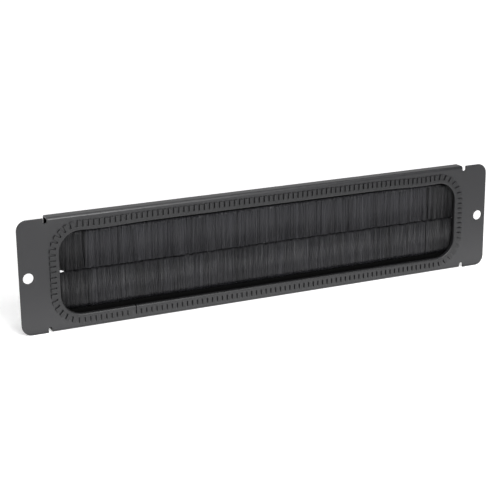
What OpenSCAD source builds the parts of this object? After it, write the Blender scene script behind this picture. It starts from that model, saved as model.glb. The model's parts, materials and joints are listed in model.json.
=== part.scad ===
// Rack brush strip panel.
// A folded steel panel bolts over a cable cut-out. Its long opening is edged with slotted trim and
// closed by two facing brush strips, so that cables pass while dust and draughts stay out.
//
// X runs along the panel, Y goes from the front face towards the back, and Z is up.
// The origin lies midway between the two mounting holes, on the plane of the front face.

/* [Panel sheet] */
// Width across both ears
panel_w = 432; // [340:1:600]
// Height, top flange to bottom flange
panel_h = 94; // [76:1:140]
// Thickness of the steel sheet
sheet_t = 1.5; // [1:0.1:2]
// Radius of the four ear corners
ear_corner_r = 8.5; // [2:0.5:12]
// Width of the flat ear beside each bend relief
ear_w = 21.7; // [18:0.1:26]
// Width of each bend relief
relief_w = 3.3; // [2:0.1:5]
// Depth of each bend relief, from the panel's edge to its round bottom
relief_depth = 4.5; // [4:0.1:6]

/* [Flanges and lips] */
// Gap between the trim and the blind ends of the rivets, which sets how deep the flanges are
rivet_gap = 0.5; // [0.3:0.1:8]
// Inside radius of every bend
bend_r = 0.8; // [0.4:0.1:1.5]
// Height of the lips that carry the brush strips, from the flange's outer face
lip_h = 14; // [12:0.5:16]
// Radius of the lips' free corners
lip_corner_r = 4; // [1:0.5:6]

/* [Mounting holes] */
// Diameter of the two mounting holes
mount_hole_d = 8.6; // [4:0.1:10]
// Distance from each mounting hole's centre to the end of its ear
mount_hole_inset = 7.5; // [6:0.5:12]

/* [Cable opening] */
// Distance from each end of the panel to the clear opening
side_margin = 33; // [32:0.5:45]
// Distance from the top and bottom of the panel to the clear opening
edge_margin = 12.3; // [11:0.1:16]
// Corner radius of the clear opening
clear_r = 18; // [8:0.5:24]

/* [Edge trim] */
// Thickness of the trim's spine, which lines the cut edge
spine_t = 1.4; // [1:0.1:2]
// Gap between the spine and the cut edge
spine_gap = 0.1; // [0.05:0.05:0.3]
// Width of the trim's legs, spine included
leg_w = 8; // [6:0.5:9]
// Thickness of each leg
leg_t = 1.5; // [1:0.1:1.5]
// Radius on the trim's two inner edges
rim_r = 1.3; // [0.5:0.1:2]
// Width of the solid rim inside the slits
rim_w = 3.3; // [2:0.1:4]
// Spacing of the slits along the spine
slit_pitch = 4.5; // [3.5:0.1:6]
// Width of each slit on the straight runs
slit_w = 1.3; // [0.5:0.1:1.5]
// Distance from the left end of the clear opening to the joint in the trim
joint_inset = 62; // [30:1:120]
// Gap between the trim's two cut ends
joint_gap = 0.6; // [0.2:0.1:1]

/* [Brush strips] */
// How far each strip runs past the end of the clear opening
strip_cover = 4; // [1:0.5:6]
// Thickness of the channel that grips the bristles
channel_d = 5; // [4:0.1:5]
// Height of the channel
channel_h = 13.5; // [12:0.1:16]
// Thickness of the channel's wall
channel_t = 0.8; // [0.5:0.1:1]
// How far each lip of the channel's mouth is crimped in
crimp = 0.3; // [0.1:0.05:0.5]
// Height of the crimped lips
crimp_h = 1.6; // [1:0.1:3]
// Diameter of the wire that the bristles are folded over
core_wire_d = 1.8; // [1.2:0.1:2]
// Gap between the bristles and the channel's wall, and round the core wire
bristle_fit = 0.05; // [0.02:0.01:0.1]
// Thickness of the row of bristles at its tips
bristle_tip_d = 4.6; // [3:0.1:5]
// Gap between the tips of the two rows
seam_gap = 0.6; // [0.2:0.1:3]

/* [Rivets] */
// Distance from each end of the clear opening to the rivet in each strip
rivet_inset = 25; // [10:1:60]
// Distance from the flange's outer face to the rivets
rivet_drop = 8; // [7.5:0.1:9]
// Diameter of the rivet's shank
rivet_d = 3.2; // [2.4:0.1:4]
// Clearance of the rivet in its holes, on the diameter
rivet_clearance = 0.1; // [0.05:0.05:0.2]
// Diameter of the rivet's factory head
rivet_head_d = 6.4; // [5:0.1:8]
// Height of the rivet's factory head
rivet_head_h = 0.9; // [0.6:0.1:1.2]
// Diameter of the formed head on the blind side
blind_head_d = 4.8; // [4:0.1:6]
// Height of the formed head on the blind side
blind_head_h = 1.5; // [1:0.1:1.8]
// Diameter of the mandrel's stem
mandrel_d = 1.8; // [1.2:0.1:2]
// Diameter of the mandrel's head
mandrel_head_d = 2.7; // [2.1:0.1:3]
// Height of the mandrel's head beyond the formed head
mandrel_head_h = 0.5; // [0.3:0.1:0.6]
// Width of the parting in the bristles at their tips, beyond each rivet
parting_tip_w = 1; // [0.4:0.1:2]

/* [Hidden] */
$fn = 64;
// Overlap of shapes that are joined, and overshoot of shapes that cut
eps = 0.01;
overshoot = 1;

SIDES = [["left", -1], ["right", 1]];
STRIPS = [["upper", 0], ["lower", 1]];

steel_black = [0.16, 0.16, 0.17];
nylon_black = [0.11, 0.11, 0.12];
bristle_black = [0.07, 0.07, 0.08];
channel_black = [0.09, 0.09, 0.09];
rivet_silver = [0.72, 0.73, 0.75];
wire_silver = [0.6, 0.6, 0.62];

// Panel
half_w = panel_w / 2;
half_h = panel_h / 2;
bend_outer_r = bend_r + sheet_t;
flange_half_w = half_w - ear_w - relief_w;
strip_front = sheet_t + leg_t + rivet_gap + mandrel_head_h + blind_head_h;
lip_front = strip_front + channel_d;
flange_depth = lip_front + sheet_t;
mount_hole_x = half_w - mount_hole_inset;

// Opening and trim
clear_half_w = half_w - side_margin;
clear_half_h = half_h - edge_margin;
cut_grow = spine_t + spine_gap;
trim_front = -leg_t;
trim_d = sheet_t + 2 * leg_t;
finger_w = slit_pitch - slit_w;
joint_x = joint_inset - clear_half_w;

// Brush strips
strip_half_w = clear_half_w + strip_cover;
strip_y = strip_front + channel_d / 2;
channel_root_z = half_h - sheet_t;
channel_mouth_z = channel_root_z - channel_h;
wire_z = channel_root_z - channel_d / 2;
bore_half = channel_d / 2 - channel_t;
bristle_half = bore_half - bristle_fit;
neck_half = bristle_half - crimp;

// Rivets
rivet_x = clear_half_w - rivet_inset;
rivet_z = half_h - rivet_drop;
rivet_hole_d = rivet_d + rivet_clearance;

// ---------------------------------------------------------------- helpers

// Stands a flat shape up in the plane of the face, from y0 to y0 + t.
module upright(y0, t) {
    translate([0, y0 + t, 0])
        rotate([90, 0, 0])
            linear_extrude(t)
                children();
}

// Runs a section along X. The section is drawn with its own X as depth and its own Y as height.
module along_x(half_len) {
    translate([-half_len, 0, 0])
        rotate([90, 0, 90])
            linear_extrude(2 * half_len)
                children();
}

// Places a turned shape at a rivet of one strip, with the shape's own Z along the panel's Y.
module at_rivet(side) {
    translate([side * rivet_x, 0, rivet_z])
        rotate([-90, 0, 0])
            children();
}

// Draws a strip's shape as the upper strip, or turned over as the lower one.
module on_strip(turned) {
    mirror([0, 0, turned])
        children();
}

module rounded_rect(half_x, half_y, r) {
    square([2 * half_x, 2 * (half_y - r)], center = true);
    square([2 * (half_x - r), 2 * half_y], center = true);
    for (sx = [-1, 1], sy = [-1, 1])
        translate([sx * (half_x - r), sy * (half_y - r)])
            circle(r);
}

// ---------------------------------------------------------------- folded panel

// A quarter ring: the section of one bend, opening towards +X and -Y of its centre.
module bend_section() {
    intersection() {
        difference() {
            circle(bend_outer_r);
            circle(bend_r);
        }
        translate([-bend_outer_r, 0])
            square(bend_outer_r);
    }
}

// Section of the top fold: bend, flange and second bend, in depth and height.
module fold_section() {
    translate([bend_outer_r, half_h - bend_outer_r])
        bend_section();
    translate([bend_outer_r, half_h - sheet_t])
        square([flange_depth - 2 * bend_outer_r, sheet_t]);
    translate([flange_depth - bend_outer_r, half_h - bend_outer_r])
        mirror([1, 0])
            bend_section();
}

module face_outline() {
    difference() {
        rounded_rect(half_w, half_h, ear_corner_r);
        rounded_rect(clear_half_w + cut_grow, clear_half_h + cut_grow, clear_r + cut_grow);
        for (sx = [-1, 1]) {
            translate([sx * mount_hole_x, 0])
                circle(d = mount_hole_d);
            for (sy = [-1, 1])
                translate([sx * (flange_half_w + relief_w / 2), sy * (half_h - relief_depth + relief_w / 2)])
                    bend_relief(sy);
        }
        for (sy = [-1, 1])
            translate([0, sy * half_h])
                square([2 * flange_half_w + relief_w, 2 * bend_outer_r], center = true);
    }
}

// A slot with a round bottom that opens through the panel's edge.
module bend_relief(up) {
    circle(d = relief_w);
    translate([-relief_w / 2, up < 0 ? -relief_depth : 0])
        square([relief_w, relief_depth]);
}

module lip_outline() {
    top = half_h - bend_outer_r;
    low = half_h - lip_h;
    difference() {
        union() {
            translate([-flange_half_w, low + lip_corner_r])
                square([2 * flange_half_w, top - low - lip_corner_r]);
            translate([lip_corner_r - flange_half_w, low])
                square([2 * (flange_half_w - lip_corner_r), lip_corner_r + eps]);
            for (sx = [-1, 1])
                translate([sx * (flange_half_w - lip_corner_r), low + lip_corner_r])
                    circle(lip_corner_r);
        }
        for (side = SIDES)
            translate([side[1] * rivet_x, rivet_z])
                circle(d = rivet_hole_d);
    }
}

module panel() {
    color(steel_black) {
        upright(0, sheet_t)
            face_outline();
        for (turned = [0, 1])
            on_strip(turned) {
                along_x(flange_half_w)
                    fold_section();
                upright(lip_front, sheet_t)
                    lip_outline();
            }
    }
}

// ---------------------------------------------------------------- edge trim

// The trim is one strip bent round the opening. Stations are measured along its spine, from the
// left end of the bottom run: side 0 is the bottom, 1 the right, 2 the top and 3 the left.
spine_mid_r = clear_r + spine_t / 2;
corner_len = PI / 2 * spine_mid_r;
function run_half(side) = side % 2 == 0 ? clear_half_w - clear_r : clear_half_h - clear_r;
function run_out(side) = side % 2 == 0 ? clear_half_h : clear_half_w;
function side_start(side) =
    side == 0 ? 0 : side_start(side - 1) + 2 * run_half(side - 1) + corner_len;
loop_len = side_start(4);
joint_station = joint_x + run_half(0);
finger_count = floor((loop_len - joint_gap) / slit_pitch);

// Places a flat shape at a station, with its own -Y pointing away from the opening.
module at_station(s) {
    station = s % loop_len;
    side = max([for (k = [0:3]) if (station >= side_start(k)) k]);
    d = station - side_start(side);
    half = run_half(side);
    rotate(90 * side)
        if (d <= 2 * half)
            translate([d - half, -run_out(side)])
                children();
        else
            translate([half, clear_r - run_out(side)])
                rotate((d - 2 * half) / spine_mid_r * 180 / PI)
                    translate([0, -clear_r])
                        children();
}

// The solid part of the trim's U, in distance from the clear edge and depth.
module rim_section() {
    difference() {
        union() {
            translate([rim_r, trim_front])
                square([rim_w - rim_r, trim_d]);
            translate([0, trim_front + rim_r])
                square([rim_r + eps, trim_d - 2 * rim_r]);
            for (y = [trim_front + rim_r, trim_front + trim_d - rim_r])
                translate([rim_r, y])
                    circle(rim_r);
        }
        translate([spine_t, 0])
            square([rim_w, sheet_t]);
    }
}

module rim() {
    for (side = [0:3])
        rotate([0, -90 * side, 0]) {
            translate([-run_half(side), 0, -run_out(side)])
                rotate([0, 90, 0])
                    linear_extrude(2 * run_half(side))
                        rim_section();
            translate([run_half(side), 0, clear_r - run_out(side)])
                rotate([-90, 0, 0])
                    rotate_extrude(angle = 90)
                        translate([clear_r, 0])
                            rim_section();
        }
}

// One leg's row of fingers, square at their ends and equal in width all the way round.
module fingers() {
    first = joint_station + (joint_gap + finger_w) / 2;
    for (i = [0:finger_count - 1])
        at_station(first + i * slit_pitch)
            translate([-finger_w / 2, -leg_w])
                square([finger_w, leg_w - spine_t]);
}

module edge_trim() {
    color(nylon_black)
        difference() {
            union() {
                rim();
                upright(trim_front, leg_t)
                    fingers();
                upright(sheet_t, leg_t)
                    fingers();
            }
            upright(trim_front - overshoot, trim_d + 2 * overshoot)
                at_station(joint_station)
                    translate([-joint_gap / 2, -leg_w - overshoot])
                        square([joint_gap, leg_w + 2 * overshoot]);
        }
}

// ---------------------------------------------------------------- brush strips

// The channel's section, from its round back to its crimped mouth.
module channel_section() {
    difference() {
        union() {
            translate([0, wire_z])
                circle(d = channel_d);
            translate([-channel_d / 2, channel_mouth_z])
                square([channel_d, wire_z - channel_mouth_z]);
        }
        translate([0, wire_z])
            circle(bore_half);
        polygon([
            [-bore_half, wire_z],
            [-bore_half, channel_mouth_z + crimp_h],
            [crimp - bore_half, channel_mouth_z],
            [crimp - bore_half, channel_mouth_z - overshoot],
            [bore_half - crimp, channel_mouth_z - overshoot],
            [bore_half - crimp, channel_mouth_z],
            [bore_half, channel_mouth_z + crimp_h],
            [bore_half, wire_z]
        ]);
    }
}

module brush_channel(turned) {
    color(channel_black)
        on_strip(turned)
            difference() {
                translate([0, strip_y, 0])
                    along_x(strip_half_w)
                        channel_section();
                for (side = SIDES)
                    at_rivet(side[1])
                        cylinder(h = flange_depth, d = rivet_hole_d);
            }
}

module core_wire(turned) {
    color(wire_silver)
        on_strip(turned)
            translate([-strip_half_w, strip_y, wire_z])
                rotate([0, 90, 0])
                    cylinder(h = 2 * strip_half_w, d = core_wire_d);
}

// The bristles are folded over the wire, pinched at the channel's mouth and spread to their tips.
module bristle_section() {
    neck_z = channel_mouth_z + bristle_fit;
    tip_half = bristle_tip_d / 2;
    difference() {
        union() {
            translate([0, wire_z])
                circle(bristle_half);
            polygon([
                [-bristle_half, wire_z],
                [-bristle_half, neck_z + crimp_h],
                [-neck_half, neck_z],
                [-neck_half, channel_mouth_z],
                [-tip_half, seam_gap / 2],
                [tip_half, seam_gap / 2],
                [neck_half, channel_mouth_z],
                [neck_half, neck_z],
                [bristle_half, neck_z + crimp_h],
                [bristle_half, wire_z]
            ]);
        }
        translate([0, wire_z])
            circle(d = core_wire_d + 2 * bristle_fit);
    }
}

// Each rivet parts the bristles, from its own width down to a slit at the tips.
module parting_outline() {
    polygon([
        [-rivet_hole_d / 2, rivet_z],
        [rivet_hole_d / 2, rivet_z],
        [parting_tip_w / 2, 0],
        [-parting_tip_w / 2, 0]
    ]);
    translate([0, rivet_z])
        circle(d = rivet_hole_d);
}

module bristles(turned) {
    color(bristle_black)
        on_strip(turned)
            difference() {
                translate([0, strip_y, 0])
                    along_x(strip_half_w)
                        bristle_section();
                for (side = SIDES)
                    translate([side[1] * rivet_x, 0, 0])
                        upright(0, flange_depth)
                            parting_outline();
            }
}

// ---------------------------------------------------------------- blind rivets

// The rivet's body, turned from its section: factory head behind the lip, formed head in front.
module rivet(side, turned) {
    color(rivet_silver)
        on_strip(turned)
            at_rivet(side)
                difference() {
                    union() {
                        translate([0, 0, strip_front])
                            cylinder(h = flange_depth - strip_front, d = rivet_d);
                        translate([0, 0, flange_depth])
                            rivet_dome(rivet_head_d, rivet_head_h);
                        translate([0, 0, strip_front])
                            mirror([0, 0, 1])
                                rivet_dome(blind_head_d, blind_head_h);
                    }
                    cylinder(h = 2 * flange_depth, d = mandrel_d);
                }
}

// A low dome with a flat crown, turned round the rivet's axis.
module rivet_dome(d, h) {
    edge = h / 3;
    rotate_extrude()
        intersection() {
            translate([0, edge])
                crown_arc(d, h - edge);
            square([d / 2, h]);
        }
    cylinder(h = edge, d = d);
}

// The dome's section: an arc through the rim and the crown.
module crown_arc(d, rise) {
    arc_r = (d * d / 4 + rise * rise) / (2 * rise);
    translate([0, rise - arc_r])
        circle(arc_r);
}

module mandrel(side, turned) {
    front = strip_front - blind_head_h;
    color(wire_silver)
        on_strip(turned)
            at_rivet(side) {
                translate([0, 0, front])
                    cylinder(h = flange_depth - front, d = mandrel_d);
                translate([0, 0, front])
                    mirror([0, 0, 1])
                        rivet_dome(mandrel_head_d, mandrel_head_h);
            }
}

// ---------------------------------------------------------------- nodes

panel();
edge_trim();

for (strip = STRIPS) {
    name = strip[0];
    turned = strip[1];
    brush_channel(turned);
    core_wire(turned);
    bristles(turned);
    for (side = SIDES) {
        place = str(name, "_", side[0]);
        rivet(side[1], turned);
        mandrel(side[1], turned);
    }
}
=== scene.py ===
# %% [markdown]
# # A rack brush strip panel
# This part closes a cable cut-out in a server rack. A sheet of steel, folded at the top and bottom,
# carries two brush strips whose bristles meet in the middle, and a slotted nylon trim covers the cut
# edge so that it can't chafe a cable.
#
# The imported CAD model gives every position. The first cell loads it as a fixed frame and keeps its
# box, because the looks may never grow out of it.

# %% Load the frame
import json

import bmesh
import bpy
import numpy as np
from mathutils import Matrix, Vector


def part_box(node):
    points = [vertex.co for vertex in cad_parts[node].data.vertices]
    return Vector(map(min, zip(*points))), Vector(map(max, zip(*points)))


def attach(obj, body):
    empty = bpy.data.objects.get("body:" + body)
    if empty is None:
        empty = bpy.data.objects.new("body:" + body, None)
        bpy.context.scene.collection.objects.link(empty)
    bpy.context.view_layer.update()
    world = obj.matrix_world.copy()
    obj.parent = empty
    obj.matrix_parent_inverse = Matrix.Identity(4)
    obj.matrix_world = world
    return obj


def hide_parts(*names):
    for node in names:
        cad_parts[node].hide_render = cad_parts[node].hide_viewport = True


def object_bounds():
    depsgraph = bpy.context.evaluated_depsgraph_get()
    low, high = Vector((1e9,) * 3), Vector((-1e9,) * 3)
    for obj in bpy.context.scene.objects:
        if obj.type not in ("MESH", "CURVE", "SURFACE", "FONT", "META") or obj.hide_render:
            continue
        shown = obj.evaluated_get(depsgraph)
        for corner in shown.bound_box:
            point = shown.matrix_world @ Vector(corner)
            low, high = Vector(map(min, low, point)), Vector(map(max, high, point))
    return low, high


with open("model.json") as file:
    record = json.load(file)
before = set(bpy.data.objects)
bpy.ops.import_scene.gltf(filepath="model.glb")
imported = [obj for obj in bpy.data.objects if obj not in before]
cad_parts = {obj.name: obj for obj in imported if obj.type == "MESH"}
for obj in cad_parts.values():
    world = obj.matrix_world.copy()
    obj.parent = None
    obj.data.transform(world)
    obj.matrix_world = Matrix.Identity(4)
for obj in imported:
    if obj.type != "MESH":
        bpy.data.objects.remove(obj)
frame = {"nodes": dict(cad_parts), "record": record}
nodes = frame["nodes"]
cad_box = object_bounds()
MM = 0.001
rng = np.random.default_rng(7)
print("CAD box in mm:", [[round(v / MM, 1) for v in corner] for corner in cad_box])

# %% [markdown]
# ## The viewpoint
# The panel is seen from its front left and a little above, with a long lens, so that its lines hardly
# converge. A camera in Blender looks along its own -Z. It is pitched up from straight down, turned
# about the vertical, and last rolled a little about its own axis.

# %% Camera
LENS_MM = 96.9
CAMERA_AT = Vector((-471.5, -977.9, 318.3)) * MM
YAW_DEG = 24.87
PITCH_DEG = 16.56
ROLL_DEG = 0.63

camera_data = bpy.data.cameras.new("camera")
camera_data.lens = LENS_MM
camera_data.sensor_width = 36.0
camera = bpy.data.objects.new("camera", camera_data)
turn = (
    Matrix.Rotation(np.radians(-YAW_DEG), 4, "Z")
    @ Matrix.Rotation(np.radians(90 - PITCH_DEG), 4, "X")
    @ Matrix.Rotation(np.radians(-ROLL_DEG), 4, "Z")
)
camera.matrix_world = Matrix.Translation(CAMERA_AT) @ turn
bpy.context.scene.collection.objects.link(camera)
bpy.context.scene.camera = camera
print("camera", round(CAMERA_AT.length, 2), "m away")

# %% [markdown]
# ## Small helpers
# These are used all the way through. One turns an sRGB hex value, as a colour picker gives it, into
# the linear numbers that a shader needs. One adds a shader node with its settings and links. The
# others make a mesh object from arrays, and put a finished piece in the place of its CAD node.


# %% Helpers
def linear(hex_colour):
    """sRGB to linear: c / 12.92 in the darks, and ((c + 0.055) / 1.055) to the power 2.4 above."""
    c = np.array([int(hex_colour[i : i + 2], 16) for i in (1, 3, 5)]) / 255
    lin = np.where(c <= 0.04045, c / 12.92, ((c + 0.055) / 1.055) ** 2.4)
    return (*lin.tolist(), 1.0)


def add_node(tree, kind, settings=(), **sockets):
    """Adds a node. A socket gets a value, or is linked from another node's output socket. Its name is
    written with underscores, or as its number after an underscore."""
    node = tree.nodes.new("ShaderNode" + kind)
    for key, value in dict(settings).items():
        setattr(node, key, value)
    for key, value in sockets.items():
        socket = node.inputs[int(key[1:])] if key[1:].isdigit() else node.inputs[key.replace("_", " ")]
        if isinstance(value, bpy.types.NodeSocket):
            tree.links.new(value, socket)
        else:
            socket.default_value = value
    return node


def empty_material(name):
    """A material with no nodes yet, and its node tree."""
    mat = bpy.data.materials.new(name)
    mat.use_nodes = True
    mat.node_tree.nodes.clear()
    return mat, mat.node_tree


def add_object(name, mesh):
    piece = bpy.data.objects.new(name, mesh)
    bpy.context.scene.collection.objects.link(piece)
    return piece


def make_mesh(name, points_mm, faces):
    """A mesh from an (n, 3) array of points in millimetres and an array or list of faces."""
    mesh = bpy.data.meshes.new(name)
    mesh.from_pydata(np.asarray(points_mm) * MM, [], faces)
    mesh.update()
    return mesh


def fit(piece, material, slot, *cad_nodes):
    """Gives a piece its material, and lets it stand for the CAD nodes that it replaces."""
    piece.data.materials.clear()
    piece.data.materials.append(material)
    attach(piece, "root")
    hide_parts(*cad_nodes)
    triangles = sum(len(p.vertices) - 2 for p in piece.data.polygons)
    print(piece.name, triangles, "triangles")


def round_edges(piece, width_mm, segments=2, sharper_than_deg=35):
    """Rounds every edge that turns more than an angle, as a coat of paint or a mould does. The normals
    are weighted by area, so that the big faces stay flat up to their rounded edges."""
    bevel = piece.modifiers.new("rounded_edges", "BEVEL")
    bevel.width = width_mm * MM
    bevel.segments = segments
    bevel.limit_method = "ANGLE"
    bevel.angle_limit = np.radians(sharper_than_deg)
    bevel.use_clamp_overlap = False
    piece.data.shade_smooth()
    piece.modifiers.new("flat_stays_flat", "WEIGHTED_NORMAL").weight = 100


# %% [markdown]
# ## The studio floor
# The panel stands on a white paper sweep that runs out of sight. The paper is plain diffuse, so it
# keeps the panel's soft shadow and throws light back on its lower half. To the camera and in
# reflections it also glows, which makes the background white without more light on the black steel.
# The glow is weaker near the panel, where the shadow has to show, and full further off. In a
# reflection it fades out towards the front, where the paper's edge would be.


# %% Floor and backdrop
NEAR_GLOW = 0.5
NEAR_MM = 350.0
FAR_MM = 1100.0
GLOW_ENDS_MM = -450.0
GLOW_FULL_MM = -50.0
FLOOR_HALF_MM = 6000.0


def mirrored_ray(tree, path):
    """1 where the ray comes by way of a gloss or through something clear, as it may see the backdrop."""
    kinds = path.outputs["Is Glossy Ray"], path.outputs["Is Transmission Ray"]
    return add_node(tree, "Math", {"operation": "MAXIMUM"}, _0=kinds[0], _1=kinds[1]).outputs[0]


paper, tree = empty_material("white_paper_sweep")
path = add_node(tree, "LightPath")
place = add_node(tree, "TexCoord").outputs["Object"]
far_off = add_node(tree, "VectorMath", {"operation": "LENGTH"}, _0=place).outputs["Value"]
glow = add_node(tree, "MapRange", Value=far_off, From_Min=NEAR_MM * MM, From_Max=FAR_MM * MM)
glow.inputs["To Min"].default_value = NEAR_GLOW
spot = add_node(tree, "SeparateXYZ", Vector=place).outputs["Y"]
near = add_node(tree, "MapRange", Value=spot, From_Min=GLOW_ENDS_MM * MM, From_Max=GLOW_FULL_MM * MM)
seen = add_node(tree, "Math", {"operation": "MULTIPLY"}, _0=near.outputs[0], _1=mirrored_ray(tree, path))
camera_ray = path.outputs["Is Camera Ray"]
either = add_node(tree, "Math", {"operation": "MAXIMUM"}, _0=seen.outputs[0], _1=camera_ray)
strength = add_node(tree, "Math", {"operation": "MULTIPLY"}, _0=either.outputs[0], _1=glow.outputs[0])
matt = add_node(tree, "BsdfDiffuse", Color=linear("#f2f2f2"))
shine = add_node(tree, "Emission", Color=linear("#ffffff"), Strength=strength.outputs[0])
both = add_node(tree, "AddShader", _0=matt.outputs[0], _1=shine.outputs[0])
add_node(tree, "OutputMaterial", Surface=both.outputs[0])

floor_z = cad_box[0][2] / MM
corners = FLOOR_HALF_MM * np.array([[-1, -1, 0], [1, -1, 0], [1, 1, 0], [-1, 1, 0]]) + [0, 0, floor_z]
floor = add_object("floor", make_mesh("floor", corners, [(0, 1, 2, 3)]))
floor.data.materials.append(paper)
print("floor at", round(floor_z, 2), "mm")

# %% [markdown]
# ## Light
# The surround is a studio: bright low down behind the panel, where the paper sweep rises, and dim in
# front and above. A glossy black surface shows mostly what it mirrors, so this shapes the panel as
# much as the lamps do. A softbox in front draws the highlight along the top fold, and it stands a
# little to one side so that the highlight fades towards the right. A second one higher up lights the
# faces, a strip over the foot lights the paper there, and a weak one at the paper gives the light that
# bounces up on the panel's lower edge. The last fills the back.


# %% World and lamps
WORLD_LIGHT = 0.45
ROOM_DIM = 0.1
SWEEP_SEEN = 0.64
BEHIND_FROM, BEHIND_FULL = -0.1, 0.4
HIGH_DARK, LOW_FULL = 0.8, 0.35

world = bpy.data.worlds.new("studio")
bpy.context.scene.world = world
world.use_nodes = True
tree = world.node_tree
tree.nodes.clear()
path = add_node(tree, "LightPath")
direction = add_node(tree, "SeparateXYZ", Vector=add_node(tree, "TexCoord").outputs["Generated"])
y, z = direction.outputs["Y"], direction.outputs["Z"]
behind = add_node(tree, "MapRange", Value=y, From_Min=BEHIND_FROM, From_Max=BEHIND_FULL)
low = add_node(tree, "MapRange", Value=z, From_Min=HIGH_DARK, From_Max=LOW_FULL)
sweep = add_node(tree, "Math", {"operation": "MULTIPLY"}, _0=behind.outputs[0], _1=low.outputs[0])
room = add_node(tree, "MapRange", Value=sweep.outputs[0], To_Min=ROOM_DIM, To_Max=1.0)
level = add_node(tree, "MapRange", Value=mirrored_ray(tree, path), To_Min=WORLD_LIGHT, To_Max=SWEEP_SEEN)
lit = add_node(tree, "Math", {"operation": "MULTIPLY"}, _0=room.outputs[0], _1=level.outputs[0])
camera_ray = path.outputs["Is Camera Ray"]
strength = add_node(tree, "Math", {"operation": "MAXIMUM"}, _0=lit.outputs[0], _1=camera_ray)
sky = add_node(tree, "Background", Color=linear("#ffffff"), Strength=strength.outputs[0])
add_node(tree, "OutputWorld", Surface=sky.outputs[0])


def add_softbox(name, at, aim, size, power):
    """A soft area lamp at a point in metres, aimed at another. Its power is in watts."""
    lamp = bpy.data.lights.new(name, "AREA")
    lamp.shape = "RECTANGLE"
    lamp.size, lamp.size_y = size
    lamp.energy = power
    aimed = (Vector(aim) - Vector(at)).to_track_quat("-Z", "Y").to_matrix().to_4x4()
    holder = bpy.data.objects.new(name, lamp)
    holder.visible_camera = False
    holder.matrix_world = Matrix.Translation(at) @ aimed
    bpy.context.scene.collection.objects.link(holder)
    print(name, power, "W")


def around(turn_deg, rise_deg, far):
    """A point on a sphere about the panel: turned from straight in front, and raised."""
    turn, rise = np.radians([turn_deg, rise_deg])
    return far * np.array([np.sin(turn) * np.cos(rise), -np.cos(turn) * np.cos(rise), np.sin(rise)])


floor_m = cad_box[0][2]
add_softbox("window", around(3, 24, 1.6), (0, 0, 0), (0.6, 0.32), 18.0)
add_softbox("high_front", around(0, 45, 1.4), (0, 0, 0), (0.8, 0.5), 10.0)
add_softbox("over_foot", (0, -0.06, 0.35), (0, -0.06, floor_m), (0.7, 0.1), 0.75)
add_softbox("foot_bounce", (0, -0.031, floor_m + 0.001), (0, -0.031, 1), (0.7, 0.056), 0.075)
add_softbox("back_fill", around(172, 55, 1.4), (0, 0, 0), (0.8, 0.6), 2.0)
bpy.context.scene.view_settings.view_transform = "Standard"

# %% [markdown]
# ## Powder coat
# The sheet is steel with a black polyester powder coat, baked on. The powder melts into a satin skin
# with a faint orange peel, about a millimetre from crest to crest, and a finer grit on top of it. Both
# are too shallow to see as shapes: they only break up the gloss. So they are bump, not geometry. The
# coat is never quite even, so its tone and gloss drift a little over a few centimetres. A polyester
# has an IOR of about 1.5.

# %% Powder-coated steel
PEEL_MM = 1.1
GRIT_MM = 0.25
CLOUD_MM = 35.0

powder_coat, tree = empty_material("powder_coated_steel")
place = add_node(tree, "TexCoord").outputs["Object"]
peel = add_node(tree, "TexNoise", Vector=place, Scale=1 / (PEEL_MM * MM), Detail=2.0)
grit = add_node(tree, "TexNoise", Vector=place, Scale=1 / (GRIT_MM * MM), Detail=1.0)
crests, grains = peel.outputs["Fac"], grit.outputs["Fac"]
relief = add_node(tree, "Mix", {"data_type": "FLOAT"}, _0=0.4, _2=crests, _3=grains)
bump = add_node(tree, "Bump", Strength=0.5, Distance=0.03 * MM, Height=relief.outputs[0])
cloud = add_node(tree, "TexNoise", Vector=place, Scale=1 / (CLOUD_MM * MM), Detail=3.0).outputs["Fac"]
satin = add_node(tree, "MapRange", Value=cloud, To_Min=0.33, To_Max=0.4)
darker, lighter = linear("#1e1e20"), linear("#242426")
tone = add_node(tree, "Mix", {"data_type": "RGBA"}, _0=cloud, _6=darker, _7=lighter)
skin = add_node(tree, "BsdfPrincipled", Base_Color=tone.outputs[2], Roughness=satin.outputs[0], IOR=1.5)
tree.links.new(bump.outputs[0], skin.inputs["Normal"])
add_node(tree, "OutputMaterial", Surface=skin.outputs[0])
print("powder coat ready")

# %% [markdown]
# ## The folded panel
# The CAD body has the true shape, but every one of its edges is perfectly sharp, and a sharp edge
# never catches the light. On a real panel the coat pools and leaves each edge round. So the body is
# copied, its loose triangles are merged into whole faces, and a small bevel rounds the edges.

# %% Panel
COAT_ROUND_MM = 0.3


def merged_copy(name, cad_node):
    """A copy of a CAD body with its doubled points merged and its flat faces made whole again."""
    work = bmesh.new()
    work.from_mesh(nodes[cad_node].data)
    bmesh.ops.remove_doubles(work, verts=work.verts, dist=0.001 * MM)
    bmesh.ops.dissolve_limit(work, angle_limit=np.radians(0.2), verts=work.verts, edges=work.edges)
    mesh = bpy.data.meshes.new(name)
    work.to_mesh(mesh)
    work.free()
    return add_object(name, mesh)


folded_panel = merged_copy("folded_panel", "panel")
round_edges(folded_panel, COAT_ROUND_MM)
fit(folded_panel, powder_coat, "powder_coated_steel", "panel")

# %% [markdown]
# ## Moulded nylon
# The trim is polyamide, cut from a moulded or extruded strip, black all through. It has a dull satin
# skin, a little rougher than the paint beside it, with fine flow marks. Its IOR is about 1.5.

# %% Trim nylon
FLOW_MM = 6.0
SKIN_MM = 0.4

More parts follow.
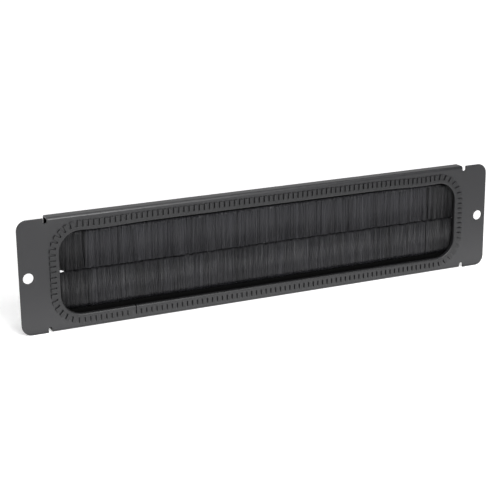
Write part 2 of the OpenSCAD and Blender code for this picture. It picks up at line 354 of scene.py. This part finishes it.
trim_nylon, tree = empty_material("moulded_nylon")
place = add_node(tree, "TexCoord").outputs["Object"]
flow = add_node(tree, "TexNoise", Vector=place, Scale=1 / (FLOW_MM * MM), Detail=3.0)
dull = add_node(tree, "MapRange", Value=flow.outputs["Fac"], To_Min=0.42, To_Max=0.54)
fine = add_node(tree, "TexNoise", Vector=place, Scale=1 / (SKIN_MM * MM), Detail=2.0)
bump = add_node(tree, "Bump", Strength=0.4, Distance=0.03 * MM, Height=fine.outputs["Fac"])
skin = add_node(tree, "BsdfPrincipled", Base_Color=linear("#131315"), Roughness=dull.outputs[0], IOR=1.5)
tree.links.new(bump.outputs[0], skin.inputs["Normal"])
add_node(tree, "OutputMaterial", Surface=skin.outputs[0])
print("nylon ready")

# %% [markdown]
# ## The slotted trim
# The trim is one U-shaped strip. Slits cut both of its legs into fingers, so that it bends round the
# corners of the opening, and it is pressed on over the cut edge from one end to the other.
#
# First comes the path that it follows. It is measured along the strip's spine, as the CAD does: the
# bottom run, the right, the top and the left, each followed by a quarter circle. One function turns
# a whole array of stations into points of the opening's edge, with the direction along the strip and
# the direction away from the opening.

# %% Path of the trim
LEG_MM = 8.0
CLEAR_R_MM = 18.0
SPINE_MM = 1.4

trim_low, trim_high = (np.array(corner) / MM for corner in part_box("edge_trim"))
clear_half = np.round((trim_high - trim_low)[[0, 2]] / 2 - LEG_MM, 1)
spine_r = CLEAR_R_MM + SPINE_MM / 2
run_half = np.tile(clear_half - CLEAR_R_MM, 2)
run_out = np.tile(clear_half[::-1], 2)
run_start = np.concatenate([[0], np.cumsum(2 * run_half + np.pi / 2 * spine_r)])
loop_mm = run_start[-1]


def along_edge(station):
    """Point, tangent and outward normal at each station, as x and z. On a run the point moves straight.
    On a corner it turns about the corner's centre by the distance gone over the spine's radius."""
    station = np.asarray(station) % loop_mm
    side = np.searchsorted(run_start, station, side="right") - 1
    gone = station - run_start[side]
    half = run_half[side]
    angle = np.clip((gone - 2 * half) / spine_r, 0, np.pi / 2)
    x = np.minimum(gone, 2 * half) - half + CLEAR_R_MM * np.sin(angle)
    z = CLEAR_R_MM * (1 - np.cos(angle)) - run_out[side]
    quarter = side * np.pi / 2
    c, s = np.cos(quarter), np.sin(quarter)
    point = np.stack([c * x - s * z, s * x + c * z], -1)
    heading = quarter + angle
    tangent = np.stack([np.cos(heading), np.sin(heading)], -1)
    outward = np.stack([np.sin(heading), -np.cos(heading)], -1)
    return point, tangent, outward


print("opening", 2 * clear_half, "mm, strip", round(loop_mm, 1), "mm long")

# %% [markdown]
# The strip's section is a ring of points: distance from the clear edge, and depth. Where a finger
# is, the ring's four tip points lie at the ends of the legs. Where a slit is, the same four points
# are drawn back to the solid rim. Laying both rings at the two sides of each slit makes the slit's
# walls by itself, so that the whole slotted strip is one loft of two parameters: the place on the
# ring and the number of the ring. The legs lean in towards the sheet that they grip.

# %% Sections of the trim
RIM_MM = 3.3
RIM_ROUND_MM = 1.3
SHEET_MM = 1.5
LEG_THICK_MM = 1.5
TIP_THICK_MM = 1.3
LEAN_START_MM = 2.2


def trim_section():
    """The ring of a finger's section as distance from the clear edge and depth, from the front leg's
    inner side round its tip, over the rounded rim and round the back leg's tip. A round corner is a
    quarter circle about its centre."""
    lean = (LEG_THICK_MM - TIP_THICK_MM) / (LEG_MM - LEAN_START_MM)
    at_rim = LEG_THICK_MM - lean * (RIM_MM - LEAN_START_MM)
    front_leg = [[SPINE_MM, 0], [RIM_MM, 0], [LEG_MM, 0], [LEG_MM, -TIP_THICK_MM], [RIM_MM, -at_rim]]
    turn = np.linspace(0, np.pi / 2, 6)
    arc = RIM_ROUND_MM * np.stack([1 - np.sin(turn), 1 - np.cos(turn)], -1) - [0, LEG_THICK_MM]
    front = np.concatenate([front_leg, [[LEAN_START_MM, -LEG_THICK_MM]], arc])
    back = front[::-1] * [1, -1] + [0, SHEET_MM]
    return np.concatenate([front, back])


ring = trim_section()
FRONT_TIPS = [2, 3]
tips = np.zeros(len(ring), bool)
tips[FRONT_TIPS] = True
tips |= tips[::-1]
short_ring = np.where(tips[:, None], [RIM_MM, 0], ring)
short_ring[tips, 1] = ring[[1, 4, len(ring) - 5, len(ring) - 2], 1]
print(len(ring), "points on the ring")

# %% [markdown]
# Now the loft. Each finger has three rings across its width and the slit beside it two. The tips of a
# finger keep square to its own middle, so that the slits open like a fan round the corners, while the
# rim follows the curve. Real trim never lies quite flat: the top run hangs a little near its
# corners, and each finger stands off the sheet by its own hair's breadth.

# %% Slotted edge trim
PITCH_MM = 4.5
SLIT_MM = 1.3
JOINT_X_MM = 62 - clear_half[0]
JOINT_GAP_MM = 0.6
SAG_MM = 1.1
SAG_AT_MM = 148.0
SAG_SPREAD_MM = 26.0
STAND_OFF_MM = 0.18

finger_mm = PITCH_MM - SLIT_MM
joint = JOINT_X_MM + run_half[0]
count = int((loop_mm - JOINT_GAP_MM) / PITCH_MM)
middles = joint + (JOINT_GAP_MM + finger_mm) / 2 + PITCH_MM * np.arange(count)
half_finger = finger_mm / 2
offsets = np.array([-half_finger, 0, half_finger, half_finger, half_finger + SLIT_MM])
is_long = np.array([True, True, True, False, False])

station = (middles[:, None] + offsets).ravel()
middle = np.repeat(middles, len(offsets))
long_ring = np.tile(is_long, count)
station[-1] = joint + loop_mm - JOINT_GAP_MM / 2


def trim_points():
    """Points of every ring: edge point + distance x outward, with the fingers' tips taken from the
    frame at the finger's middle, shifted along its tangent. Last, the top run sags by a bell curve."""
    shape = np.where(long_ring[:, None, None], ring, short_ring)
    point, tangent, outward = along_edge(station)
    flat = point[:, None] + shape[..., :1] * outward[:, None]
    point, tangent, outward = along_edge(middle)
    square = point + (station - middle)[:, None] * tangent
    at_tip = square[:, None] + shape[..., :1] * outward[:, None]
    moved = (tips & long_ring[:, None])[..., None]
    flat = np.where(moved, at_tip, flat)
    lift = np.repeat(rng.uniform(0, STAND_OFF_MM, (count, 2)), len(offsets), axis=0)
    y = shape[..., 1].copy()
    y -= np.where(moved[..., 0] & (y <= 0), lift[:, :1], 0)
    y += np.where(moved[..., 0] & (y >= SHEET_MM), lift[:, 1:], 0)
    bell = np.exp(-(((np.abs(flat[..., 0]) - SAG_AT_MM) / SAG_SPREAD_MM) ** 2))
    upward = np.clip(along_edge(station)[2][:, 1], 0, 1)[:, None]
    return np.stack([flat[..., 0], y, flat[..., 1] - SAG_MM * bell * upward], -1)


def loft_faces(rings, per_ring):
    """Quads between each ring and the next, with a closed way round, and a cap on either end."""
    r, a = np.meshgrid(np.arange(rings - 1), np.arange(per_ring), indexing="ij")
    b = (a + 1) % per_ring
    this, following = r * per_ring, (r + 1) * per_ring
    quads = np.stack([this + a, this + b, following + b, following + a], -1)
    first = list(range(per_ring))[::-1]
    last = list(range((rings - 1) * per_ring, rings * per_ring))
    return quads.reshape(-1, 4).tolist() + [first, last]


def close_up(mesh):
    """Merges the points that lie on each other, drops the faces that they leave empty, and turns
    every face outwards."""
    work = bmesh.new()
    work.from_mesh(mesh)
    bmesh.ops.remove_doubles(work, verts=work.verts, dist=0.001 * MM)
    bmesh.ops.dissolve_degenerate(work, edges=work.edges, dist=0.0001 * MM)
    bmesh.ops.recalc_face_normals(work, faces=work.faces)
    open_edges = sum(not e.is_manifold for e in work.edges)
    work.to_mesh(mesh)
    work.free()
    print("open edges:", open_edges)


points = trim_points()
mesh = make_mesh("slotted_trim", points.reshape(-1, 3), loft_faces(len(station), len(ring)))
close_up(mesh)
slotted_trim = add_object("slotted_trim", mesh)
round_edges(slotted_trim, 0.15, segments=1)
fit(slotted_trim, trim_nylon, "trim_nylon", "edge_trim")

# %% [markdown]
# ## Bristle nylon
# The filaments are drawn nylon, a few tenths of a millimetre thick and black all through. Drawing
# leaves them smooth, so each one has a thin gloss along it. A brush looks streaked because its
# filaments lie in tufts at slightly different angles, and because some are deeper in the shade than
# others. Each filament carries a shade attribute that scales its colour: a random tone, with painted
# shade added where filaments lie deeper in shadow.

# %% Filament nylon
filament_nylon, tree = empty_material("drawn_nylon_filament")
shade = add_node(tree, "Attribute", {"attribute_name": "shade"}).outputs["Fac"]
tone = add_node(tree, "MapRange", Value=shade, To_Min=0.3, To_Max=1.7)
black = linear("#2e2e32")
colour = add_node(tree, "VectorMath", {"operation": "SCALE"}, _0=black[:3], Scale=tone.outputs[0])
skin = add_node(tree, "BsdfPrincipled", Base_Color=colour.outputs[0], Roughness=0.42, IOR=1.53)
add_node(tree, "OutputMaterial", Surface=skin.outputs[0])
print("filament ready")

# %% [markdown]
# ## The bristles
# A strip brush is made by folding a bed of filaments over a wire and crimping a steel channel round
# the fold. So the filaments leave the channel's mouth pinched together, flare at once, and spread a
# little further to their tips. The two strips meet in a slightly wavy seam. Only the middle layers
# touch there: the outer ones are cut shorter, so that the seam is a groove and lets no light by. The
# meeting layers are given the darkest tone, as painted shade in the groove.
#
# Each filament is a thin three-sided tube with three rings. All of a row's filaments are computed at
# once: where each starts along the mouth, how deep it sits in the row, where its tip goes, and how
# it bows between. A smooth random curve along the row moves neighbouring filaments together, and that
# makes the tufts. Real filaments are finer than these, but at this thickness one row stays light
# enough to export.

# %% Filament helpers
FILAMENTS = 13600
FILAMENT_R_MM = 0.19
LAYERS = 8
RING_AT = np.array([0, 0.14, 1.0])
HALF_THICK_MM = np.array([1.4, 2.1, 2.3])
ROOT_IN_MM = 1.0
TIP_TAPER = 0.8


def wander(x, spacing_mm, reach=1.0):
    """A smooth random curve: random values at even knots, eased from one to the next by 3t^2 - 2t^3."""
    knots = rng.uniform(-reach, reach, int(400 / spacing_mm) + 3)
    place = (x + 200) / spacing_mm
    low = np.clip(np.floor(place).astype(int), 0, len(knots) - 2)
    t = place - low
    return knots[low] + (knots[low + 1] - knots[low]) * t * t * (3 - 2 * t)


def bump_at(x, centre_mm, half_mm):
    """A soft hill, 1 at its centre and falling as a bell curve."""
    return np.exp(-(((x - centre_mm) / half_mm) ** 2))


def tube_mesh(name, paths, radius, shade):
    """Three-sided tubes. Each ring is its path point plus the radius times a unit triangle in x and y,
    turned by a random angle, and thinner towards the tip. Points are (tube, ring, corner)."""
    tubes, rings = paths.shape[:2]
    spin = rng.uniform(0, 2 * np.pi, (tubes, 1, 1)) + np.arange(3) * 2 * np.pi / 3
    taper = radius * np.linspace(1, TIP_TAPER, rings)[None, :, None]
    corner = np.stack([np.cos(spin) * taper, np.sin(spin) * taper, np.zeros((tubes, rings, 3))], -1)
    points = (paths[:, :, None] + corner).reshape(-1, 3)
    first = (np.arange(tubes) * rings * 3)[:, None, None, None]
    r = np.arange(rings - 1)[None, :, None, None] * 3
    a = np.arange(3)[None, None, :, None]
    b = (a + 1) % 3
    quads = first + np.concatenate([r + a, r + b, r + 3 + b, r + 3 + a], -1)
    root = first[:, 0, 0] + np.array([[2, 1, 0]])
    tip = first[:, 0, 0] + (rings - 1) * 3 + np.array([[0, 1, 2]])
    faces = quads.reshape(-1, 4).tolist() + root.tolist() + tip.tolist()
    mesh = make_mesh(name, points, faces)
    attribute = mesh.attributes.new("shade", "FLOAT", "POINT")
    attribute.data.foreach_set("value", np.repeat(shade, rings * 3).astype(np.float32))
    mesh.shade_smooth()
    return mesh


print(FILAMENTS, "filaments in a row, each", 2 * FILAMENT_R_MM, "mm thick")

# %% [markdown]
# A rivet passes through each strip near its ends and pushes the filaments aside. They part round it
# in a narrow wedge, closing towards the tips, and the short lot beyond the rivet is untidier and more
# tufted than the rest. The wedge and the short lot are darkened with painted shade.

# %% Rows of bristles
SEAM_MM = -0.7
SEAM_WAVE_MM = 0.12
DOME_MM = 0.6
SLOT_MM = 0.65
MEET_MM = 0.4
MEETS_WITHIN = 0.32
JITTER_MM = 0.4
OUTBOARD_MM = 160.0
OUTBOARD_PAINTED_SHADE = 0.46


def depths():
    """Each filament's place in the row's thickness, from -1 at the front to 1 at the back. Every run of
    neighbours holds one filament of each layer, in random order, so that no gap goes right through."""
    layer = np.stack([rng.permutation(LAYERS) for _ in range(FILAMENTS // LAYERS)]).ravel()
    return (layer + rng.uniform(0, 1, FILAMENTS)) * 2 / LAYERS - 1


def grow_row(name, cad_node, up, base_shade, partings, short_ends):
    """One row. t runs from 0 at the root to 1 at the tip. x = start + lean t + sway (1 - 0.75 t), where
    sway pushes the front layers away from each parting and dies off with distance. y = middle of the
    row + depth times a half thickness that grows with t. z runs in even steps of t from the channel's
    mouth to the tip, which is the slot plus the dome times depth cubed short of the seam."""
    low, high = (np.array(corner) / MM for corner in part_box(cad_node))
    channel = cad_node.replace("bristles", "brush_channel")
    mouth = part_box(channel)[0 if up else 1][2] / MM
    root_z = mouth + (ROOT_IN_MM if up else -ROOT_IN_MM)
    middle_y = (low[1] + high[1]) / 2
    half_x = high[0] - FILAMENT_R_MM

    # Middle layers stand straight and even. The outer ones are free to stray.
    depth = depths()
    free = np.clip((np.abs(depth) - 0.15) * 3, 0, 1)
    start = np.linspace(-half_x, half_x, FILAMENTS) + rng.normal(0, 0.1, FILAMENTS) * free
    start = np.clip(start, -half_x, half_x)
    outboard = np.clip((np.abs(start) - OUTBOARD_MM) / 4, 0, 1)
    lean = wander(start, 3.2, 0.5) * (1 + outboard) + rng.normal(0, 0.12, FILAMENTS)
    lean = wander(start, 9, 0.5) + lean * free

    # How far each one ends short of the seam, and how light it is.
    meets = np.abs(depth) < MEETS_WITHIN
    short = SLOT_MM + DOME_MM * np.abs(depth) ** 3 + rng.beta(1.0, 8.0, FILAMENTS) * JITTER_MM * free
    short = np.where(meets, -MEET_MM, short)
    shade = base_shade + rng.normal(0, 0.07, FILAMENTS)
    shade = shade + wander(start, 4.0, 0.11) + wander(start, 14.0, 0.05)
    # Painted shade beyond the rivets: the outboard filaments are darkened.
    shade -= outboard * (OUTBOARD_PAINTED_SHADE - wander(start, 5.0, 0.12))

    sway = np.zeros(FILAMENTS)
    # Each parting takes painted shade off the filaments in its wedge.
    for centre, width, parting_shade in partings:
        near = start - centre
        yields = np.clip(0.1 - 1.2 * depth, 0, 1)
        sway += np.sign(near) * width * np.exp(-np.abs(near) / (2.2 * width)) * yields
        shade -= parting_shade * bump_at(start, centre, width + 0.8)
    # Painted shade in the seam's groove: the meeting layers get the darkest tone.
    shade = np.where(meets, 0, shade)
    for centre, half, cut in short_ends:
        short += cut * bump_at(start, centre, half)

    t = RING_AT[None]
    x = start[:, None] + lean[:, None] * t + sway[:, None] * (1 - 0.75 * t)
    tuft = wander(start, 2.6, 0.25)
    y = middle_y + np.clip(depth[:, None] + tuft[:, None] * t, -1, 1) * (HALF_THICK_MM - FILAMENT_R_MM)
    tip_z = SEAM_MM + wander(start, 14.0, SEAM_WAVE_MM) + (short if up else -short)
    z = root_z + (tip_z[:, None] - root_z) * t
    paths = np.stack([np.clip(x, -half_x, half_x), y, z], -1)
    mesh = tube_mesh(name, paths, FILAMENT_R_MM, np.clip(shade, 0, 1))
    fit(add_object(name, mesh), filament_nylon, "bristle_nylon", cad_node)


# %% [markdown]
# Now both rows grow. A parting is its place along the row, its width and how much painted shade it
# gets. A short end is its place, its half width and how much is missing from the tips there. The lower
# row's colour starts from a darker base, as painted shade for the deeper shadow it lies in.

# %% Both rows
grow_row(
    "upper_filaments", "upper_bristles", up=True, base_shade=0.43,
    partings=[(-161.0, 2.2, 0.3), (159.0, 1.8, 0.3), (180.0, 1.0, 0.3)],
    short_ends=[(-180.0, 3.2, 2.2)],
)
# The lower row's darker base_shade is painted shade.
grow_row(
    "lower_filaments", "lower_bristles", up=False, base_shade=0.2,
    partings=[(-158.5, 0.6, 0.12), (158.0, 0.6, 0.12)],
    short_ends=[(-180.5, 3.2, 0.8)],
)

# %% [markdown]
# ## Channels and core wires
# The channels, wires and rivets keep their exact CAD bodies, because their shapes are right, and get
# finishes. A channel is cold-rolled strip under a thin black paint, and the roll leaves long marks in
# it. Its near-black colour and weak gloss are partly painted shade, standing in for the shade in the
# crevice behind the trim. A core wire is bare steel that was drawn through a die, so its marks run
# along it too. A Mapping node that shrinks X stretches the pattern that way, and so makes both.

# %% Channel paint and wire
ROLL_MARK_MM = 0.8
DRAW_MARK_MM = 0.15

channel_black_and_painted_shade, tree = empty_material("strip_steel_black_and_painted_shade")
place = add_node(tree, "TexCoord").outputs["Object"]
rolled = add_node(tree, "Mapping", Vector=place, Scale=(0.05, 1.0, 1.0))
streaks = add_node(tree, "TexNoise", Vector=rolled.outputs[0], Scale=1 / (ROLL_MARK_MM * MM), Detail=2.0)
dull = add_node(tree, "MapRange", Value=streaks.outputs["Fac"], To_Min=0.6, To_Max=0.8)
bump = add_node(tree, "Bump", Strength=0.3, Distance=0.02 * MM, Height=streaks.outputs["Fac"])
# Near black and almost without gloss: partly the paint, partly painted shade of the crevice behind the
# trim.
skin = add_node(tree, "BsdfPrincipled", Base_Color=linear("#040404"), Roughness=dull.outputs[0], IOR=1.5)
skin.inputs["Specular IOR Level"].default_value = 0.06
tree.links.new(bump.outputs[0], skin.inputs["Normal"])
add_node(tree, "OutputMaterial", Surface=skin.outputs[0])

drawn_wire, tree = empty_material("drawn_steel_wire")
place = add_node(tree, "TexCoord").outputs["Object"]
along = add_node(tree, "Mapping", Vector=place, Scale=(0.04, 1.0, 1.0))
marks = add_node(tree, "TexNoise", Vector=along.outputs[0], Scale=1 / (DRAW_MARK_MM * MM), Detail=2.0)
dull = add_node(tree, "MapRange", Value=marks.outputs["Fac"], To_Min=0.3, To_Max=0.5)
steel = linear("#9c9b99")
skin = add_node(tree, "BsdfPrincipled", Base_Color=steel, Metallic=1.0, Roughness=dull.outputs[0])
add_node(tree, "OutputMaterial", Surface=skin.outputs[0])
print("channel paint and wire ready")

# %% [markdown]
# ## Rivets
# A blind rivet is a plain aluminium tube with a head, tumbled after it was made, which leaves it softly
# scuffed. Its mandrel is a steel pin. Pulling it swells the tube behind the sheet until the pin breaks
# off, and that leaves a torn dull end in the bore.

# %% Rivet and mandrel metals
SCUFF_MM = 0.6
TORN_GRAIN_MM = 0.3

rivet_metal, tree = empty_material("tumbled_aluminium")
place = add_node(tree, "TexCoord").outputs["Object"]
scuffs = add_node(tree, "TexNoise", Vector=place, Scale=1 / (SCUFF_MM * MM), Detail=4.0)
dull = add_node(tree, "MapRange", Value=scuffs.outputs["Fac"], To_Min=0.28, To_Max=0.5)
bump = add_node(tree, "Bump", Strength=0.25, Distance=0.02 * MM, Height=scuffs.outputs["Fac"])
aluminium = linear("#cfd0d2")
skin = add_node(tree, "BsdfPrincipled", Base_Color=aluminium, Metallic=1.0, Roughness=dull.outputs[0])
tree.links.new(bump.outputs[0], skin.inputs["Normal"])
add_node(tree, "OutputMaterial", Surface=skin.outputs[0])

torn_steel, tree = empty_material("torn_mandrel_steel")
place = add_node(tree, "TexCoord").outputs["Object"]
grain = add_node(tree, "TexNoise", Vector=place, Scale=1 / (TORN_GRAIN_MM * MM), Detail=4.0).outputs["Fac"]
darker, lighter = linear("#6f6f72"), linear("#9a9a9c")
tone = add_node(tree, "Mix", {"data_type": "RGBA"}, _0=grain, _6=darker, _7=lighter)
bump = add_node(tree, "Bump", Strength=0.6, Distance=0.05 * MM, Height=grain)
skin = add_node(tree, "BsdfPrincipled", Base_Color=tone.outputs[2], Metallic=1.0, Roughness=0.5)
tree.links.new(bump.outputs[0], skin.inputs["Normal"])
add_node(tree, "OutputMaterial", Surface=skin.outputs[0])
print("rivet metals ready")

# %% [markdown]
# ## Dressing the kept bodies
# The record names a material slot for each CAD body, and each slot here has its own finish. The body's
# mesh isn't touched: only its material is.

# %% Finishes on the CAD bodies
finish_of = {
    "channel_steel": channel_black_and_painted_shade,
    "core_wire_steel": drawn_wire,
    "rivet_aluminium": rivet_metal,
    "mandrel_steel": torn_steel,
}
for part in frame["record"]["subparts"]:
    finish = finish_of.get(part["material_slot"])
    if finish:
        kept = nodes[part["node"]].data
        kept.materials.clear()
        kept.materials.append(finish)
        print(part["node"], "is", finish.name)
